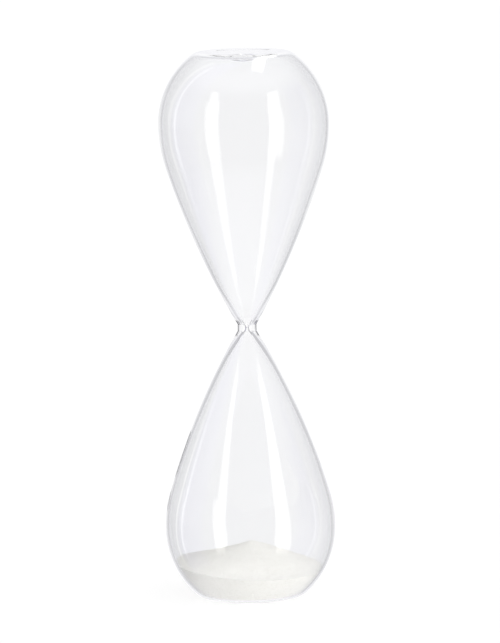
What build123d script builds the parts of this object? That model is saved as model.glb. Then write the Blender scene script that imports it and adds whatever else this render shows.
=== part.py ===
from build123d import *

import os
from math import isclose, sqrt

# Frameless sand glass. Millimetres, +Z up, standing on the plane z = 0 with its
# axis on the Z axis. Two blown bulbs are fused to a short neck with a fine bore,
# the fill hole in the upper end is closed with a lump of glass, and all the sand
# lies in the lower bulb.

os.makedirs("parts", exist_ok=True)

# Whole glass
height = 300.0
neck_height = 148.5  # the narrowest point, a little below half way

# Blown bulbs, each measured from its own flat end
lower_shape = {
    "belly_radius": 46.8,
    "belly_height": 37.5,
    "heel_radius": 49.3,
    "edge_radius": 4.5,
    "shoulder_radius": 68.0,
    "shoulder_turn": 16.3,
}
upper_shape = {
    "belly_radius": 46.6,
    "belly_height": 39.2,
    "heel_radius": 47.7,
    "edge_radius": 6.0,
    "shoulder_radius": 79.0,
    "shoulder_turn": 17.8,
}
wall = 1.7
end_glass = 1.7  # thickness of the flat ends
dimple_radius = 19.0  # the ends are pushed in, so the glass stands on a ring
dimple_depth = 2.0
dimple_blend = 6.0
throat_length = 25.0  # from the neck's middle to where the wall starts to thicken
throat_radius = 15.6

# Neck
neck_length = 14.0
neck_end_radius = 8.1
neck_mouth_radius = 4.6
collar_radius = 5.15
collar_height = 3.6
collar_blend = 0.8
bore_radius = 0.65
bore_length = 2.0
bore_blend = 4.0

# Fill hole, and the lump of glass that closes it
fill_hole_radius = 4.0
seal_radius = 6.5
seal_dome = 1.2
seal_drop = 1.8

# Sand: a low cone with a rounded peak, lying against the glass all round
sand_rim_height = 16.3
sand_peak_height = 29.6
sand_peak_blend = 4.0

dimple_curve = (dimple_radius**2 + dimple_depth**2) / (2 * dimple_depth)


def end_outline(shape, inset, floor):
    """Draw a bulb's dimple, ring and heel, and return where the belly is widest."""
    heel_radius = shape["heel_radius"] - inset
    heel_centre = shape["belly_radius"] - shape["heel_radius"]
    heel_rise = shape["belly_height"] - floor
    heel_start = heel_centre + sqrt(heel_radius**2 - heel_rise**2)
    belly = (shape["belly_radius"] - inset, shape["belly_height"])
    dimple = RadiusArc((0, floor + dimple_depth), (dimple_radius, floor), dimple_curve)
    ring = Line(dimple @ 1, (heel_start, floor))
    RadiusArc(ring @ 1, belly, -heel_radius)
    return belly


def on_dimple(radius, floor):
    """The point of a dimple's arc at one radius."""
    centre = floor + dimple_depth - dimple_curve
    return (radius, centre + sqrt(dimple_curve**2 - radius**2))


def round_outer_end(section, shape):
    """Round the standing ring where it meets the heel and the dimple."""
    ring_corners = section.vertices().group_by(Axis.Y)[0].sort_by(Axis.X)
    fillet(ring_corners[-1], shape["edge_radius"])
    fillet(ring_corners[0], dimple_blend)


def blown_bulb(shape, plane, length):
    """Revolve one bulb about the Z axis, with its flat end on the plane's x axis."""
    joint = length - neck_length / 2
    with BuildPart() as bulb:
        with BuildSketch(plane) as section:
            with BuildLine():
                belly = end_outline(shape, 0, 0)
                shoulder = JernArc(
                    belly, (0, 1), shape["shoulder_radius"], shape["shoulder_turn"]
                )
                cone = TangentArc(
                    shoulder @ 1, (neck_end_radius, joint), tangent=shoulder % 1
                )
                Polyline(cone @ 1, (0, joint), (0, dimple_depth))
            make_face()
            round_outer_end(section, shape)
            with BuildLine():
                belly = end_outline(shape, wall, end_glass)
                shoulder = JernArc(
                    belly, (0, 1), shape["shoulder_radius"] - wall, shape["shoulder_turn"]
                )
                cone = TangentArc(
                    shoulder @ 1,
                    (throat_radius, length - throat_length),
                    tangent=shoulder % 1,
                )
                throat = TangentArc(
                    cone @ 1, (neck_mouth_radius, joint), tangent=cone % 1
                )
                Polyline(throat @ 1, (0, joint), (0, end_glass + dimple_depth))
            make_face(mode=Mode.SUBTRACT)
        revolve(axis=Axis.Z)
    return bulb


# Lower bulb, standing on its flat end
lower_bulb = blown_bulb(lower_shape, Plane.XZ, neck_height)

# Upper bulb, upside down, with the hole that the sand was poured in through
top_plane = Plane((0, 0, height), x_dir=(1, 0, 0), z_dir=(0, 1, 0))
closed_upper_bulb = blown_bulb(upper_shape, top_plane, height - neck_height)
with BuildPart() as upper_bulb:
    add(closed_upper_bulb.part)
    with BuildSketch(Plane.XY.offset(height)):
        Circle(fill_hole_radius)
    extrude(amount=-3 * end_glass, mode=Mode.SUBTRACT)

# Neck: thick tube with a straight collar outside and a fine bore inside
with BuildPart() as neck:
    with BuildSketch(Plane.XZ.shift_origin((0, 0, neck_height))) as neck_section:
        end = neck_length / 2
        collar_end = collar_height / 2
        bore_end = bore_length / 2
        with BuildLine():
            Polyline(
                (neck_mouth_radius, -end),
                (neck_end_radius, -end),
                (collar_radius, -collar_end),
                (collar_radius, collar_end),
                (neck_end_radius, end),
                (neck_mouth_radius, end),
                (bore_radius, bore_end),
                (bore_radius, -bore_end),
                close=True,
            )
        make_face()
        corners = neck_section.vertices()
        fillet(corners.filter_by(lambda v: isclose(v.X, collar_radius)), collar_blend)
        fillet(corners.filter_by(lambda v: isclose(v.X, bore_radius)), bore_blend)
    revolve(axis=Axis.Z)

# Seal: a lump that fills the hole and spreads over the glass on both sides, with its
# outer dome kept inside the standing ring. Drawn from the end, so y runs inwards.
with BuildPart() as fill_seal:
    with BuildSketch(top_plane):
        with BuildLine():
            outer_rim = on_dimple(seal_radius, 0)
            outer_lip = on_dimple(fill_hole_radius, 0)
            inner_lip = on_dimple(fill_hole_radius, end_glass)
            inner_rim = on_dimple(seal_radius, end_glass)
            outer_peak = (0, dimple_depth - seal_dome)
            inner_peak = (0, dimple_depth + end_glass + seal_drop)
            TangentArc(outer_peak, outer_rim, tangent=(1, 0))
            RadiusArc(outer_rim, outer_lip, -dimple_curve)
            Line(outer_lip, inner_lip)
            RadiusArc(inner_lip, inner_rim, dimple_curve)
            TangentArc(inner_peak, inner_rim, tangent=(1, 0))
            Line(inner_peak, outer_peak)
        make_face()
    revolve(axis=Axis.Z)

# Sand: what lies under the heap's surface, out to the inside of the lower bulb
with BuildPart() as sand:
    rim_drop = lower_shape["belly_height"] - sand_rim_height
    rim_heel = lower_shape["heel_radius"] - wall
    heel_centre = lower_shape["belly_radius"] - lower_shape["heel_radius"]
    rim_radius = heel_centre + sqrt(rim_heel**2 - rim_drop**2)
    foot_radius = rim_radius + wall  # the slope is drawn on into the glass, then cut back
    slope = (sand_peak_height - sand_rim_height) / rim_radius
    foot_height = sand_peak_height - slope * foot_radius
    with BuildSketch(Plane.XZ) as sand_section:
        with BuildLine():
            Polyline(
                (0, sand_peak_height),
                (foot_radius, foot_height),
                (foot_radius, 0),
                (-foot_radius, 0),
                (-foot_radius, foot_height),
                close=True,
            )
        make_face()
        peak = sand_section.vertices().sort_by(Axis.Y)[-1]
        fillet(peak, sand_peak_blend)
        with BuildLine():
            belly = end_outline(lower_shape, wall, end_glass)
            Polyline(belly, (0, belly[1]), (0, end_glass + dimple_depth))
        make_face(mode=Mode.INTERSECT)
    revolve(axis=Axis.Z)

lower_bulb.part.label = "lower_bulb"
upper_bulb.part.label = "upper_bulb"
neck.part.label = "neck"
fill_seal.part.label = "fill_seal"
sand.part.label = "sand"

export_step(lower_bulb.part, "parts/lower_bulb.step")
export_step(upper_bulb.part, "parts/upper_bulb.step")
export_step(neck.part, "parts/neck.step")
export_step(fill_seal.part, "parts/fill_seal.step")
export_step(sand.part, "parts/sand.step")
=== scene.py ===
from math import atan, atan2, ceil, cos, pi, radians, sin, sqrt, tan

import bmesh
import bpy
from mathutils import Matrix, Vector, noise


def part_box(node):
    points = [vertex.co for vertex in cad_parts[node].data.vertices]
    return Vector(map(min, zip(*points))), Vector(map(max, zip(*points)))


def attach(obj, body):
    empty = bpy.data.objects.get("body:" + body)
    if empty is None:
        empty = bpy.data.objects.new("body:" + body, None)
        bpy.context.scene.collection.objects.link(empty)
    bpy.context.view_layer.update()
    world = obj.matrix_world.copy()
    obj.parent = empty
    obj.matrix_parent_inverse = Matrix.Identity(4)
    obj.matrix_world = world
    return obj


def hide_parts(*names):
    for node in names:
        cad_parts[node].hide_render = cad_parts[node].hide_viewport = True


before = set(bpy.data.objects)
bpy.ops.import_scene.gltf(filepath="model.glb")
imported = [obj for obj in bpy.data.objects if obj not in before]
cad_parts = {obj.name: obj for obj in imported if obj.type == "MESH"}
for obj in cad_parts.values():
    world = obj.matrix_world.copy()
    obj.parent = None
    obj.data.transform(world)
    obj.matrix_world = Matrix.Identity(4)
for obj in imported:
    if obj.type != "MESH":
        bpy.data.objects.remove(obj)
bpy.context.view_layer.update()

# Frameless sand glass in a white studio. Metres, +Z up, standing on z = 0 with its
# axis on the Z axis. The glass is made again here as fine meshes of revolution, with
# the same outlines as the frame, so that it bends and mirrors light cleanly.

MM = 0.001

# ------------------------------------------------------------------ sizes
# The ends of each piece come from the frame
base_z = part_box("lower_bulb")[0][2]
top_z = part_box("upper_bulb")[1][2]
neck_low, neck_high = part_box("neck")
neck_z = (neck_low[2] + neck_high[2]) / 2
neck_half_length = (neck_high[2] - neck_low[2]) / 2
neck_end_radius = neck_high[0]

# Bulbs, each measured from its own flat end
lower_shape = {
    "belly_radius": 46.8 * MM,
    "belly_height": 37.5 * MM,
    "heel_radius": 49.3 * MM,
    "edge_radius": 4.5 * MM,
    "shoulder_radius": 68.0 * MM,
    "shoulder_turn": radians(16.3),
    "length": neck_z - neck_half_length - base_z,
}
upper_shape = {
    "belly_radius": 46.6 * MM,
    "belly_height": 39.2 * MM,
    "heel_radius": 47.7 * MM,
    "edge_radius": 6.0 * MM,
    "shoulder_radius": 79.0 * MM,
    "shoulder_turn": radians(17.8),
    "length": top_z - neck_z - neck_half_length,
}
wall = 1.7 * MM
end_glass = 1.7 * MM  # thickness of the flat ends
dimple_radius = 19.0 * MM  # the ends are pushed in, so the glass stands on a ring
dimple_depth = 2.0 * MM
dimple_blend = 6.0 * MM
inner_blend = 4.3 * MM  # at the foot of the inside
throat_length = 25.0 * MM - neck_half_length  # where the wall thickens, from the joint
throat_radius = 15.6 * MM
dimple_curve = (dimple_radius**2 + dimple_depth**2) / (2 * dimple_depth)

# The slight ripple of hand-blown glass. It is longer up a bulb than round it, and fades
# out towards the bulb's ends.
ripple_depth = 0.09 * MM
ripple_pitch = 26 * MM
ripple_upright = 0.6
ripple_fade = 18 * MM
lower_ripple_seed = 3.7
upper_ripple_seed = 8.1

# Neck
neck_mouth_radius = 4.6 * MM
collar_radius = 5.15 * MM
collar_half_height = 1.8 * MM
collar_blend = 0.8 * MM
bore_radius = 0.65 * MM
bore_half_length = 1.0 * MM
bore_blend = 4.0 * MM

# Fill seal
fill_hole_radius = 4.0 * MM
seal_radius = 6.5 * MM
seal_dome = 1.2 * MM
seal_drop = 1.8 * MM

# Sand. The heap lies higher on the left than on the right, and lower front and back.
sand_gap = 0.15 * MM  # between the sand and the glass
sand_rim_height = 16.3 * MM
sand_rim_lean = 2.25 * MM
sand_rim_dip = 0.75 * MM
sand_peak_height = 29.6 * MM
sand_peak_round = 1.0 * MM

# A power under 1 makes the heap's slope sag and one over 1 makes it bulge. It sags on the
# left and bulges a little on the right.
slope_power = 0.95
slope_power_lean = 0.17

# The pitch and height of the heap's lumps, and the share of the slope, next to the rim,
# over which they fade out
sand_lumps = ((5.0 * MM, 0.22 * MM), (0.9 * MM, 0.10 * MM))
lump_fade = 1 / 12

# Mesh fineness
glass_step = 1.1 * MM
fine_step = 0.25 * MM
glass_segments = 192
neck_segments = 128
sand_segments = 480
sand_top_rings = 84
sand_side_rings = 26
on_axis = 1e-9  # a point nearer to the axis than this is on it

# Edges that bend more than this stay sharp
glass_crease = radians(40)
sand_crease = radians(50)

# Material slots of a piece of glass: its surface, and where it is fused to the next piece
GLASS, JOINED = 0, 1


# ------------------------------------------------------------------ outlines
# An outline is a list of (radius, height) points in one half plane. A path is a part of
# one, and each of these functions adds to the end of a path or returns a new one.

def add_line(path, end, step):
    """Add a straight stretch to the end of a path."""
    start = path[-1]
    count = max(1, ceil((end - start).length / step))
    path += [start.lerp(end, i / count) for i in range(1, count + 1)]


def add_arc(path, centre, turn, step):
    """Add an arc about a centre, which turns by an angle, to the end of a path."""
    spoke = path[-1] - centre
    count = max(2, ceil(abs(turn) * spoke.length / step))
    path += [
        centre + Matrix.Rotation(turn * i / count, 2) @ spoke for i in range(1, count + 1)
    ]


def add_arc_to(path, centre, end, step):
    """Add the short arc about a centre that ends at or beside a point."""
    spoke, last = path[-1] - centre, end - centre
    add_arc(path, centre, atan2(spoke.cross(last), spoke.dot(last)), step)


def add_tangent_arc(path, heading, end, step):
    """Add the arc that leaves along a heading and ends at a point. Returns the new heading."""
    chord = end - path[-1]
    side = Vector((-heading.y, heading.x))
    radius = chord.length_squared / (2 * chord.dot(side))
    turn = 2 * atan2(heading.cross(chord), heading.dot(chord))
    add_arc(path, path[-1] + side * radius, turn, step)
    return Matrix.Rotation(turn, 2) @ heading


def end_path(shape, inset, floor, edge, blend, step):
    """A bulb's dimple, ring and heel, from the axis to where the belly is widest.

    inset is how far it lies inside the bulb's outside and floor is the ring's height.
    edge and blend are the radii where the ring meets the heel and the dimple.
    """
    dimple_centre = Vector((0, floor + dimple_depth - dimple_curve))
    heel_centre = Vector((shape["belly_radius"] - shape["heel_radius"], shape["belly_height"]))
    heel_radius = shape["heel_radius"] - inset
    blend_x = sqrt((dimple_curve + blend) ** 2 - (floor + blend - dimple_centre.y) ** 2)
    blend_centre = Vector((blend_x, floor + blend))
    edge_x = heel_centre.x + sqrt(
        (heel_radius - edge) ** 2 - (heel_centre.y - floor - edge) ** 2
    )
    edge_centre = Vector((edge_x, floor + edge))
    path = [Vector((0, floor + dimple_depth))]
    add_arc_to(path, dimple_centre, blend_centre, step)
    add_arc_to(path, blend_centre, Vector((blend_x, floor)), step)
    add_line(path, Vector((edge_x, floor)), step)
    outward = (edge_centre - heel_centre).normalized()
    add_arc_to(path, edge_centre, heel_centre + outward * heel_radius, step)
    belly = Vector((shape["belly_radius"] - inset, shape["belly_height"]))
    add_arc_to(path, heel_centre, belly, step)
    return path


def outer_path(shape, step):
    """The outside of a bulb, from the axis at its flat end to its joint with the neck."""
    path = end_path(shape, 0, 0, shape["edge_radius"], dimple_blend, step)
    turn = shape["shoulder_turn"]
    add_arc(path, path[-1] - Vector((shape["shoulder_radius"], 0)), turn, step)
    heading = Vector((-sin(turn), cos(turn)))
    add_tangent_arc(path, heading, Vector((neck_end_radius, shape["length"])), step)
    return path


def inner_path(shape, step):
    """The inside of a bulb, from the axis at its flat end to its joint with the neck."""
    path = end_path(shape, wall, end_glass, inner_blend, dimple_blend, step)
    turn = shape["shoulder_turn"]
    radius = shape["shoulder_radius"] - wall
    add_arc(path, path[-1] - Vector((radius, 0)), turn, step)
    heading = Vector((-sin(turn), cos(turn)))
    throat = Vector((throat_radius, shape["length"] - throat_length))
    heading = add_tangent_arc(path, heading, throat, step)
    add_tangent_arc(path, heading, Vector((neck_mouth_radius, shape["length"])), step)
    return path


def on_dimple(radius, floor):
    """The height of a dimple's surface at one radius."""
    return floor + dimple_depth - dimple_curve + sqrt(dimple_curve**2 - radius**2)


# ------------------------------------------------------------------ meshes
def ripple(point, angle, seed, length):
    """How far blown glass strays from true at one place. The ends stay true."""
    reach = min(point.y, length - point.y) / ripple_fade
    ease = min(max(reach, 0), 1) ** 2
    x, y = cos(angle) * point.x, sin(angle) * point.x
    place = Vector((x, y, point.y * ripple_upright)) / ripple_pitch
    return ripple_depth * ease * noise.noise(place + Vector((seed, 0, 0)))


def revolve(name, outline, slots, segments, stray=None):
    """A closed mesh from a closed outline turned about the Z axis.

    slots holds the material slot of the band after each point. stray gives how far
    each vertex moves along its own normal.
    """
    count = len(outline)
    mesh = bmesh.new()
    rings = []
    for i, point in enumerate(outline):
        if point.x < on_axis:
            rings.append([mesh.verts.new((0, 0, point.y))] * segments)
            continue
        along = outline[(i + 1) % count] - outline[i - 1]
        normal = Vector((along.y, -along.x)).normalized()
        ring = []
        for j in range(segments):
            angle = 2 * pi * j / segments
            moved = point + normal * stray(point, angle) if stray else point
            ring.append(mesh.verts.new((cos(angle) * moved.x, sin(angle) * moved.x, moved.y)))
        rings.append(ring)
    for i in range(count):
        here, there = rings[i], rings[(i + 1) % count]
        for j in range(segments):
            k = (j + 1) % segments
            corners = [here[j], here[k], there[k], there[j]]
            corners = [v for n, v in enumerate(corners) if v not in corners[:n]]
            if len(corners) > 2:
                face = mesh.faces.new(corners)
                face.material_index = slots[i]
                face.smooth = True
    return finish_mesh(name, mesh)


def finish_mesh(name, mesh):
    """Turn a bmesh into an object whose faces point outwards."""
    if mesh.calc_volume(signed=True) < 0:
        bmesh.ops.reverse_faces(mesh, faces=mesh.faces)
    data = bpy.data.meshes.new(name)
    mesh.to_mesh(data)
    mesh.free()
    piece = bpy.data.objects.new(name, data)
    bpy.context.scene.collection.objects.link(piece)
    return piece


def glass_piece(name, outline, slots, segments, stray=None, glass=None):
    """A piece of clear glass. Where it is fused to the next piece it has no surface."""
    piece = revolve(name, outline, slots, segments, stray)
    piece.data.set_sharp_from_angle(angle=glass_crease)
    piece.data.materials.append(glass or clear_glass)
    piece.data.materials.append(fused_joint)
    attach(piece, "root")
    return piece


# ------------------------------------------------------------------ node tools
def set_inputs(tree, node, inputs):
    """Give a node its inputs, each a plain value or another node's output."""
    for name, value in dict(inputs).items():
        if isinstance(value, bpy.types.NodeSocket):
            tree.links.new(value, node.inputs[name])
        else:
            node.inputs[name].default_value = value


def add_node(tree, kind, inputs=(), **settings):
    """Add a node with its settings and inputs."""
    node = tree.nodes.new(kind)
    for name, value in settings.items():
        setattr(node, name, value)
    set_inputs(tree, node, inputs)
    return node


def math_node(tree, operation, *values):
    """A Math node's result. Each value is a number or another node's output."""
    return add_node(tree, "ShaderNodeMath", enumerate(values), operation=operation).outputs[0]


def map_range(tree, value, low, high, to_low=0.0, to_high=1.0):
    """A value eased from one range to another."""
    inputs = {"Value": value, "From Min": low, "From Max": high}
    inputs |= {"To Min": to_low, "To Max": to_high}
    node = add_node(tree, "ShaderNodeMapRange", inputs, interpolation_type="SMOOTHSTEP")
    return node.outputs[0]


def mix(tree, factor, low, high, kind="FLOAT", blend="MIX"):
    """A number or colour that lies between two others, or one blended over the other."""
    inputs = {"Factor": factor, "A": low, "B": high}
    node = add_node(tree, "ShaderNodeMix", inputs, data_type=kind, blend_type=blend)
    return node.outputs["Result"]


def mix_colours(tree, factor, low, high):
    """A colour between two plain colours."""
    return mix(tree, factor, (*low, 1), (*high, 1), "RGBA")


def coloured(tree, value, colour):
    """A colour times a number."""
    inputs = {0: colour, "Scale": value}
    return add_node(tree, "ShaderNodeVectorMath", inputs, operation="SCALE").outputs[0]


def noise_node(tree, place, scale, detail):
    """Soft noise over a place."""
    inputs = {"Vector": place, "Scale": scale, "Detail": detail}
    return add_node(tree, "ShaderNodeTexNoise", inputs).outputs["Fac"]


def object_place(tree):
    """Where a shaded point lies on its object."""
    return add_node(tree, "ShaderNodeTexCoord").outputs["Object"]


# ------------------------------------------------------------------ materials
# Clear glass
glass_index = 1.47
glass_tints = ((0.972, 0.975, 0.984), (0.986, 0.986, 0.988))
melt_scale = 14.0
drawn_line_scale = (9.0, 9.0, 42.0)  # finer up the glass, so that the lines run round it

# The neck's glass and the shade painted on its edges: its own tint and the near-black
# painted shade, how far from the neck's middle the shade is painted, and how far from
# facing the view the glass has to be turned
neck_tint_and_painted_shade = ((0.985, 0.985, 0.99), (0.05, 0.05, 0.06))
painted_shade_reach = (5.0 * MM, 3.8 * MM)
painted_shade_turn = (0.3, 0.7)

# Sand
grain_scale = 3200.0
drift_scale = 160.0
sand_tones = ((0.88, 0.872, 0.825), (0.94, 0.932, 0.89))
grain_tones = ((1, 1, 1), (0.8, 0.79, 0.76))
dark_grains = (0.82, 1.0)  # out of all grains' tones, which run from 0 to 1
sand_roughness = (0.7, 0.95)


def new_material(name):
    """A new material, its node tree and its Principled shader."""
    material = bpy.data.materials.new(name)
    material.use_nodes = True
    tree = material.node_tree
    return material, tree, tree.nodes["Principled BSDF"]


def make_clear_glass():
    """Clear blown glass: faint drawn lines round the bulb and a slight uneven tint."""
    material, tree, shader = new_material("clear_blown_glass")
    place = object_place(tree)
    stretch = {"Vector": place, "Scale": drawn_line_scale}
    drawn = add_node(tree, "ShaderNodeMapping", stretch).outputs[0]
    lines = noise_node(tree, drawn, scale=1.0, detail=2.0)
    melt = noise_node(tree, place, melt_scale, detail=1.0)
    relief = {"Height": lines, "Strength": 0.12, "Distance": 0.0002}
    set_inputs(tree, shader, {
        "Base Color": mix_colours(tree, melt, *glass_tints),
        "Normal": add_node(tree, "ShaderNodeBump", relief).outputs[0],
        "Transmission Weight": 1.0,
        "Roughness": 0.0,
        "IOR": glass_index,
    })
    return material


def make_neck_glass_painted_shade():
    """The same glass, with near-black shade painted into its colour where the neck is seen
    edge on. The painted shade stands in for the dark surroundings that real thick glass
    bends into view there, because behind this glass everything is white."""
    material = clear_glass.copy()
    material.name = "thick_drawn_glass_painted_edge_shade"
    tree = material.node_tree
    inputs = {"Vector": object_place(tree)}
    height = add_node(tree, "ShaderNodeSeparateXYZ", inputs).outputs["Z"]
    off = math_node(tree, "ABSOLUTE", math_node(tree, "SUBTRACT", height, neck_z))
    near = map_range(tree, off, *painted_shade_reach)
    facing = add_node(tree, "ShaderNodeLayerWeight", {"Blend": 0.5}).outputs["Facing"]
    # Painted shade: the tint turns near black near the neck's middle where it is seen edge on
    edge = math_node(tree, "MULTIPLY", near, map_range(tree, facing, *painted_shade_turn))
    tint = mix_colours(tree, edge, *neck_tint_and_painted_shade)
    set_inputs(tree, tree.nodes["Principled BSDF"], {"Base Color": tint})
    return material


def make_fused_joint():
    """The inside of a fused joint, where glass runs on into glass and nothing shows."""
    material, tree, shader = new_material("fused_joint")
    set_inputs(tree, shader, {"Transmission Weight": 1.0, "Alpha": 0.0})
    return material


def make_white_sand():
    """Fine dry white sand, with a few darker grains and a rough grained surface."""
    material, tree, shader = new_material("fine_white_sand")
    place = object_place(tree)
    grains = add_node(tree, "ShaderNodeTexVoronoi", {"Vector": place, "Scale": grain_scale})
    grain_colour = {"Color": grains.outputs["Color"]}
    grain_tone = add_node(tree, "ShaderNodeSeparateColor", grain_colour).outputs[0]
    drift = noise_node(tree, place, drift_scale, detail=4.0)
    light = mix_colours(tree, drift, *sand_tones)
    dark = mix_colours(tree, map_range(tree, grain_tone, *dark_grains), *grain_tones)
    relief = {"Height": grains.outputs["Distance"], "Strength": 0.35, "Distance": 0.0002}
    set_inputs(tree, shader, {
        "Base Color": mix(tree, 1.0, light, dark, "RGBA", "MULTIPLY"),
        "Roughness": map_range(tree, grain_tone, 0.0, 1.0, *sand_roughness),
        "Normal": add_node(tree, "ShaderNodeBump", relief, invert=True).outputs[0],
        "Specular IOR Level": 0.25,
    })
    return material


clear_glass = make_clear_glass()
neck_glass_painted_shade = make_neck_glass_painted_shade()
fused_joint = make_fused_joint()
white_sand = make_white_sand()


# ------------------------------------------------------------------ glass
def bulb_outline(shape):
    """A closed outline of one bulb in its own heights, with the slot of each band."""
    outer = outer_path(shape, glass_step)
    inner = inner_path(shape, glass_step)
    slots = [GLASS] * (len(outer) - 1) + [JOINED] + [GLASS] * len(inner)
    return outer + inner[::-1], slots


def cut_hole(outline, slots):
    """Cut the fill hole through a bulb's flat end, and mark what the seal covers."""
    belly = upper_shape["belly_height"]
    kept = [(p, s) for p, s in zip(outline, slots) if p.x > seal_radius or p.y > belly]
    lip = []
    for radius in (seal_radius, fill_hole_radius):
        lip.append(Vector((radius, on_dimple(radius, end_glass))))
    for radius in (fill_hole_radius, seal_radius):
        lip.append(Vector((radius, on_dimple(radius, 0))))
    points = [p for p, _ in kept] + lip
    marks = [s for _, s in kept] + [JOINED] * 3 + [GLASS]
    return points, marks


def make_lower_bulb():
    outline, slots = bulb_outline(lower_shape)
    length = lower_shape["length"]

    def stray(point, angle):
        return ripple(point, angle, lower_ripple_seed, length)

    piece = glass_piece("lower_bulb_glass", outline, slots, glass_segments, stray)
    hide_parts("lower_bulb")


def make_upper_bulb():
    outline, slots = cut_hole(*bulb_outline(upper_shape))
    outline = [Vector((p.x, top_z - p.y)) for p in outline]
    length = upper_shape["length"]

    def stray(point, angle):
        from_end = Vector((point.x, top_z - point.y))
        return ripple(from_end, angle, upper_ripple_seed, length)

    piece = glass_piece("upper_bulb_glass", outline, slots, glass_segments, stray)
    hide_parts("upper_bulb")


def round_corner(path, corner, end, radius, step):
    """Go from a path's end to a corner, round it, and stop where the next line starts."""
    before = (path[-1] - corner).normalized()
    after = (end - corner).normalized()
    half = before.angle(after) / 2
    setback = radius / tan(half)
    centre = corner + (before + after).normalized() * (radius / sin(half))
    add_line(path, corner + before * setback, step)
    add_arc_to(path, centre, corner + after * setback, step)


def half_neck(end_radius, waist_radius, waist_half, blend, step):
    """One side of the neck, from its lower end to its upper end."""
    low_end = Vector((end_radius, -neck_half_length))
    low = Vector((waist_radius, -waist_half))
    high = Vector((waist_radius, waist_half))
    high_end = Vector((end_radius, neck_half_length))
    path = [low_end]
    round_corner(path, low, high, blend, step)
    round_corner(path, high, high_end, blend, step)
    add_line(path, high_end, step)
    return path


def make_neck():
    collar = (collar_radius, collar_half_height, collar_blend)
    bore = (bore_radius, bore_half_length, bore_blend)
    outer = half_neck(neck_end_radius, *collar, fine_step)
    inner = half_neck(neck_mouth_radius, *bore, fine_step)
    slots = [GLASS] * (len(outer) - 1) + [JOINED] + [GLASS] * (len(inner) - 1) + [JOINED]
    outline = [Vector((p.x, p.y + neck_z)) for p in outer + inner[::-1]]
    piece = glass_piece("neck_glass", outline, slots, neck_segments, glass=neck_glass_painted_shade)
    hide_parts("neck")


def make_fill_seal():
    """The lump that closes the fill hole. Its rims lie on both faces of the flat end."""
    path = [Vector((0, dimple_depth - seal_dome))]
    flat = Vector((1, 0))
    add_tangent_arc(path, flat, Vector((seal_radius, on_dimple(seal_radius, 0))), fine_step)
    outer_count = len(path)
    path.append(Vector((fill_hole_radius, on_dimple(fill_hole_radius, 0))))
    path.append(Vector((fill_hole_radius, on_dimple(fill_hole_radius, end_glass))))
    inner = [Vector((0, dimple_depth + end_glass + seal_drop))]
    rim = Vector((seal_radius, on_dimple(seal_radius, end_glass)))
    add_tangent_arc(inner, flat, rim, fine_step)
    slots = [GLASS] * (outer_count - 1) + [JOINED] * 3 + [GLASS] * len(inner)
    outline = [Vector((p.x, top_z - p.y)) for p in path + inner[::-1]]
    piece = glass_piece("fill_seal_glass", outline, slots, neck_segments)
    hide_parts("fill_seal")


# ------------------------------------------------------------------ sand
def around_axis(angle, radius, height):
    """A point at one angle round the axis."""
    return cos(angle) * radius, sin(angle) * radius, height


def side_radius(height):
    """The radius of the sand's side at one height, a little inside the glass."""
    centre = lower_shape["belly_radius"] - lower_shape["heel_radius"]
    radius = lower_shape["heel_radius"] - wall - sand_gap
    return centre + sqrt(radius**2 - (lower_shape["belly_height"] - height) ** 2)


def sand_rim():
    """The angle, radius and height of each point of the heap's rim."""
    rim = []
    for j in range(sand_segments):
        angle = 2 * pi * j / sand_segments
        height = sand_rim_height - sand_rim_lean * cos(angle) + sand_rim_dip * cos(2 * angle)
        rim.append((angle, side_radius(height), height))
    return rim


def heap_point(share, angle, rim_radius, rim_height):
    """A point of the heap's surface, some share of the way from its peak to its rim."""
    radius = rim_radius * share
    soft = sqrt(radius**2 + sand_peak_round**2) - sand_peak_round
    full = sqrt(rim_radius**2 + sand_peak_round**2) - sand_peak_round
    power = slope_power + slope_power_lean * cos(angle)
    height = sand_peak_height - (sand_peak_height - rim_height) * (soft / full) ** power
    x, y, z = around_axis(angle, radius, height)
    ease = min(1.0, (1 - share) / lump_fade)
    for pitch, lump in sand_lumps:
        z += ease * lump * noise.noise(Vector((x, y, height)) / pitch)
    return x, y, z


def side_point(share, foot, angle, rim_height):
    """A point of the sand's side, some share of the way down from its rim to its foot."""
    height = rim_height + (foot.y - rim_height) * share
    radius = side_radius(height) if share < 1 else foot.x
    return around_axis(angle, radius, height)


def make_sand():
    """The heap: a rounded low cone of fine grains that lies against the glass."""
    floor = end_glass + sand_gap
    bottom = end_path(
        lower_shape, wall + sand_gap, floor, inner_blend, dimple_blend, glass_step
    )
    bottom = [p for p in bottom if p.y < floor + inner_blend]
    rim = sand_rim()
    levels = []
    for i in range(1, sand_top_rings + 1):
        levels.append([heap_point(i / sand_top_rings, *place) for place in rim])
    for i in range(1, sand_side_rings + 1):
        share = i / sand_side_rings
        levels.append([side_point(share, bottom[-1], angle, z) for angle, _, z in rim])
    for point in bottom[-2:0:-1]:
        levels.append([around_axis(angle, point.x, point.y) for angle, _, _ in rim])

    mesh = bmesh.new()
    peak = mesh.verts.new((0, 0, base_z + sand_peak_height))
    rings = []
    for level in levels:
        rings.append([mesh.verts.new((x, y, base_z + z)) for x, y, z in level])
    under = mesh.verts.new((0, 0, base_z + bottom[0].y))
    for j in range(sand_segments):
        k = (j + 1) % sand_segments
        mesh.faces.new((peak, rings[0][j], rings[0][k]))
        mesh.faces.new((under, rings[-1][k], rings[-1][j]))
        for here, there in zip(rings, rings[1:]):
            mesh.faces.new((here[j], there[j], there[k], here[k]))
    for face in mesh.faces:
        face.smooth = True
    piece = finish_mesh("sand_heap", mesh)
    piece.data.set_sharp_from_angle(angle=sand_crease)
    piece.data.materials.append(white_sand)
    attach(piece, "root")
    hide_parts("sand")


# ------------------------------------------------------------------ studio
# Clear glass shows only what it bends and what it mirrors. It bends white surroundings
# into view and mirrors a dimmer room with lamps, so light is told apart by how often it
# has been mirrored or scattered on its way.
bounced = 0.5  # a count above this is one or more

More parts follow.
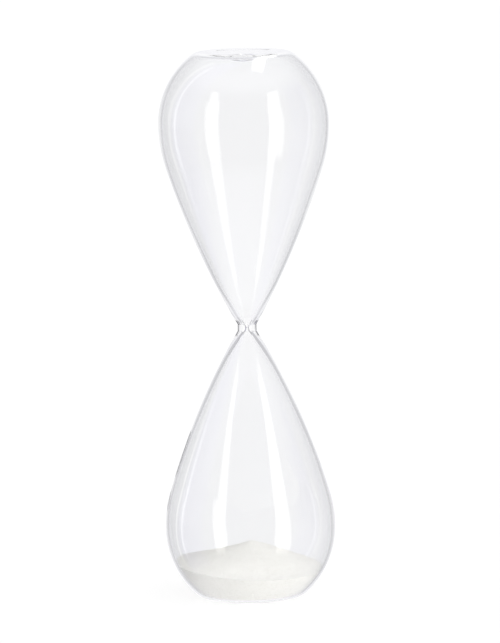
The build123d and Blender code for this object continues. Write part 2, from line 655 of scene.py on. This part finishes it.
# Mirrored once or twice: the count lies within 1.1 of 1.5. Light that is mirrored more
# often inside the glass meets the white surroundings.
mirrored_count = 1.5
mirrored_spread = 1.1

# Floor. Its glow as it is seen, and its glow as it lights the sand, which is weaker on
# the left and changes between two places in X.
floor_radius = 40.0
floor_albedo = 0.20
floor_glow = 0.82
floor_lighting = (0.38, 0.87)
floor_lighting_edges = (-120 * MM, 20 * MM)

# How clear the floor is to mirrored light near the axis. Past these radii it is all clear.
under_base_clear = 0.45
under_base_edges = (18 * MM, 30 * MM)

# Surroundings: what shows behind the glass, and the sky that lights the sand and the
# floor, brighter on the right and in front and dimmer towards the top
horizon_light = 1.03
sky_light = 1.1
sky_right = 0.42
sky_front = 0.5
sky_top = 0.75
sky_top_edges = (30.0, 90.0)

# Mirrored room. Angles are in degrees: azimuth from the front, positive to the right, and
# elevation from level. Edges are pairs between which one light eases into the next.
room_colour = (0.965, 0.965, 1.0)
room_light = 0.37
room_right = 0.12
left_wall_edges = (-60.0, -80.0)
dark_wall_light = 0.02
dark_wall_edges = (8.0, -12.0)
pale_wall_light = 0.62
pale_wall_edges = (95.0, 115.0)
side_light = 0.60
side_edges = (100.0, 150.0)
backdrop_light = 0.95
backdrop_edges = (156.0, 172.0)
lilac_glow = (0.02, 0.0, 0.24)
lilac_back_edges = (-125.0, -105.0)
lilac_foot_edges = (-45.0, -32.0)

# The ceiling and the table, by the height of the direction, 1 being straight up
ceiling_light = 0.55
ceiling_edges = (0.5, 0.9)
table_light = 0.95
table_edges = (-0.45, -0.8)

# Tall lamps. The first centre and half width hold from the foot to lamp_bend, and from
# there the lamp changes to the second ones at its head.
lamp_light = 1.7
side_lamp_light = 1.1
lamp_colour = (1.0, 1.0, 0.94)
left_lamp = {"centres": (-43.5, -50.0), "half_widths": (7.0, 7.0), "ends": (-26.0, 43.0)}
right_lamp = {"centres": (46.5, 52.0), "half_widths": (10.5, 10.0), "ends": (-26.0, 42.0)}
near_left_lamp = {
    "centres": (-108.0, -108.0), "half_widths": (1.6, 1.6), "ends": (-28.0, 60.0),
}
far_left_lamp = {
    "centres": (-122.0, -122.0), "half_widths": (1.0, 1.0), "ends": (-28.0, 60.0),
}
lamp_bend = 20.0
lamp_side_blur = 1.8
lamp_foot_blur = (-5.0, 7.0)
lamp_head_blur = (1.5, -1.5)

# Oblong lamp overhead, on a plane one unit above the glass
overhead_left = (0.15, 0.19)
overhead_right = (0.42, 0.38)
overhead_front = (-0.18, -0.12)
overhead_back = (1.5, 1.3)
overhead_lowest = 0.05  # directions lower than this count as this low


def make_floor():
    """A plain pale light table. Light that the glass has mirrored passes it and sees the
    room instead, except for some of it close under the base."""
    mesh = bmesh.new()
    bmesh.ops.create_circle(mesh, cap_ends=True, segments=96, radius=floor_radius)
    floor = finish_mesh("floor", mesh)
    material, tree, shader = new_material("pale_floor")
    place = add_node(tree, "ShaderNodeNewGeometry").outputs["Position"]
    across = add_node(tree, "ShaderNodeSeparateXYZ", {"Vector": place}).outputs["X"]
    distance = add_node(tree, "ShaderNodeVectorMath", {0: place}, operation="LENGTH")
    path = add_node(tree, "ShaderNodeLightPath").outputs
    lighting = math_node(tree, "GREATER_THAN", path["Diffuse Depth"], bounced)
    sided = map_range(tree, across, *floor_lighting_edges, *floor_lighting)
    set_inputs(tree, shader, {
        "Base Color": (floor_albedo, floor_albedo, floor_albedo, 1),
        "Emission Color": (1, 1, 1, 1),
        "Emission Strength": mix(tree, lighting, floor_glow, sided),
        "Roughness": 1.0,
        "Specular IOR Level": 0.0,
    })
    mirrored = math_node(tree, "GREATER_THAN", path["Glossy Depth"], bounced)
    from_axis = distance.outputs["Value"]
    clear = map_range(tree, from_axis, *under_base_edges, under_base_clear, 1.0)
    clear = math_node(tree, "MULTIPLY", mirrored, clear)
    passed = add_node(tree, "ShaderNodeBsdfTransparent").outputs[0]
    both = {0: clear, 1: shader.outputs[0], 2: passed}
    surface = add_node(tree, "ShaderNodeMixShader", both).outputs[0]
    set_inputs(tree, tree.nodes["Material Output"], {"Surface": surface})
    floor.data.materials.append(material)


def tall_lamp(tree, azimuth, elevation, centres, half_widths, ends):
    """A mask of one tall lamp in the mirrored room, soft at its foot."""
    foot, head = ends
    centre = map_range(tree, elevation, lamp_bend, head, *centres)
    half_width = map_range(tree, elevation, lamp_bend, head, *half_widths)
    off = math_node(tree, "ABSOLUTE", math_node(tree, "SUBTRACT", azimuth, centre))
    inside = math_node(tree, "SUBTRACT", half_width, off)
    across = map_range(tree, inside, -lamp_side_blur, lamp_side_blur)
    above = map_range(tree, elevation, *[foot + blur for blur in lamp_foot_blur])
    below = map_range(tree, elevation, *[head + blur for blur in lamp_head_blur])
    return math_node(tree, "MULTIPLY", across, math_node(tree, "MULTIPLY", above, below))


def overhead_lamp(tree, axes):
    """A mask of the oblong lamp overhead, a little to the right."""
    height = math_node(tree, "MAXIMUM", axes["Z"], overhead_lowest)
    right = math_node(tree, "DIVIDE", axes["X"], height)
    back = math_node(tree, "DIVIDE", axes["Y"], height)
    across = math_node(
        tree, "MULTIPLY",
        map_range(tree, right, *overhead_left), map_range(tree, right, *overhead_right),
    )
    along = math_node(
        tree, "MULTIPLY",
        map_range(tree, back, *overhead_front), map_range(tree, back, *overhead_back),
    )
    return math_node(tree, "MULTIPLY", across, along)


def room_lamps(tree, axes, azimuth, elevation):
    """How bright the lamps are in each direction of the mirrored room."""
    left = tall_lamp(tree, azimuth, elevation, **left_lamp)
    right = tall_lamp(tree, azimuth, elevation, **right_lamp)
    near_left = tall_lamp(tree, azimuth, elevation, **near_left_lamp)
    far_left = tall_lamp(tree, azimuth, elevation, **far_left_lamp)
    front = math_node(tree, "ADD", left, right)
    front = math_node(tree, "ADD", front, overhead_lamp(tree, axes))
    sides = math_node(tree, "ADD", near_left, far_left)
    sides = math_node(tree, "MULTIPLY", sides, side_lamp_light)
    return math_node(tree, "MULTIPLY_ADD", front, lamp_light, sides)


def mirrored_room(tree, axes, azimuth, elevation):
    """What the glass mirrors: a dim room with tall lamps, a dark wall low on the left, a
    pale wall on the right, a white backdrop, a ceiling and a white table."""
    height = axes["Z"]
    turned = math_node(tree, "ABSOLUTE", azimuth)
    left_wall = map_range(tree, azimuth, *left_wall_edges)
    low = map_range(tree, elevation, *dark_wall_edges)
    room = math_node(tree, "MULTIPLY_ADD", axes["X"], room_right, room_light)
    for mask, light in (
        (math_node(tree, "MULTIPLY", left_wall, low), dark_wall_light),
        (map_range(tree, azimuth, *pale_wall_edges), pale_wall_light),
        (map_range(tree, turned, *side_edges), side_light),
        (map_range(tree, turned, *backdrop_edges), backdrop_light),
        (map_range(tree, height, *ceiling_edges), ceiling_light),
        (map_range(tree, height, *table_edges), table_light),
    ):
        room = mix(tree, mask, room, light)
    lilac = map_range(tree, azimuth, *lilac_back_edges)
    lilac = math_node(tree, "MULTIPLY", left_wall, lilac)
    above_foot = map_range(tree, elevation, *lilac_foot_edges)
    lilac = math_node(tree, "MULTIPLY", lilac, above_foot)
    lamps = room_lamps(tree, axes, azimuth, elevation)
    seen = coloured(tree, room, room_colour)
    for value, colour in ((lamps, lamp_colour), (lilac, lilac_glow)):
        both = {0: seen, 1: coloured(tree, value, colour)}
        seen = add_node(tree, "ShaderNodeVectorMath", both, operation="ADD").outputs[0]
    return seen


def white_surroundings(tree, axes, elevation, lighting):
    """What shows behind the glass. The sand and the floor are lit by a shaded sky
    instead."""
    sided = math_node(tree, "MULTIPLY_ADD", axes["X"], sky_right, sky_light)
    sided = math_node(tree, "MULTIPLY_ADD", axes["Y"], -sky_front, sided)
    high = map_range(tree, elevation, *sky_top_edges, 1.0, sky_top)
    sky = math_node(tree, "MULTIPLY", sided, high)
    return mix(tree, lighting, horizon_light, sky)


def make_studio():
    """White surroundings, with a dimmer room and tall lamps for what the glass mirrors."""
    world = bpy.data.worlds.new("studio")
    bpy.context.scene.world = world
    world.use_nodes = True
    tree = world.node_tree
    ray = add_node(tree, "ShaderNodeTexCoord").outputs["Generated"]
    axes = add_node(tree, "ShaderNodeSeparateXYZ", {"Vector": ray}).outputs
    to_degrees = 180 / pi
    front = math_node(tree, "MULTIPLY", axes["Y"], -1.0)
    azimuth = math_node(tree, "ARCTAN2", axes["X"], front)
    azimuth = math_node(tree, "MULTIPLY", azimuth, to_degrees)
    elevation = math_node(tree, "ARCSINE", axes["Z"])
    elevation = math_node(tree, "MULTIPLY", elevation, to_degrees)
    path = add_node(tree, "ShaderNodeLightPath").outputs
    lighting = math_node(tree, "GREATER_THAN", path["Diffuse Depth"], bounced)
    mirrored = math_node(
        tree, "COMPARE", path["Glossy Depth"], mirrored_count, mirrored_spread
    )
    white = white_surroundings(tree, axes, elevation, lighting)
    white = coloured(tree, white, (1, 1, 1))
    room = mirrored_room(tree, axes, azimuth, elevation)
    seen = mix(tree, mirrored, white, room, "RGBA")
    light = add_node(tree, "ShaderNodeBackground", {"Color": seen, "Strength": 1.0})
    set_inputs(tree, tree.nodes["World Output"], {"Surface": light.outputs[0]})


def make_camera():
    """A long lens, a little above the glass, aimed a touch high and to the right."""
    distance = 2.37
    elevation = radians(8.4)
    roll = radians(0.99)
    view_height = 352.7 * MM
    aim = Vector((1.64 * MM, 0, (base_z + top_z) / 2 + 1.7 * MM))
    data = bpy.data.cameras.new("camera")
    data.sensor_fit = "VERTICAL"
    data.angle = 2 * atan(view_height / 2 / distance)
    data.clip_end = 200.0
    camera = bpy.data.objects.new("camera", data)
    back = Vector((0, -cos(elevation), sin(elevation)))
    camera.location = aim + back * distance
    turn = back.to_track_quat("Z", "Y").to_matrix().to_4x4()
    camera.rotation_euler = (turn @ Matrix.Rotation(-roll, 4, "Z")).to_euler()
    bpy.context.scene.collection.objects.link(camera)
    bpy.context.scene.camera = camera


def set_light_paths():
    """Enough bounces for light to leave thick glass, true whites and no speckle."""
    scene = bpy.context.scene
    scene.view_settings.view_transform = "Standard"
    scene.cycles.max_bounces = 128
    scene.cycles.transmission_bounces = 64
    scene.cycles.glossy_bounces = 96
    scene.cycles.transparent_max_bounces = 24
    scene.cycles.blur_glossy = 0.0
    scene.cycles.use_denoising = True


make_lower_bulb()
make_upper_bulb()
make_neck()
make_fill_seal()
make_sand()
make_floor()
make_studio()
make_camera()
set_light_paths()
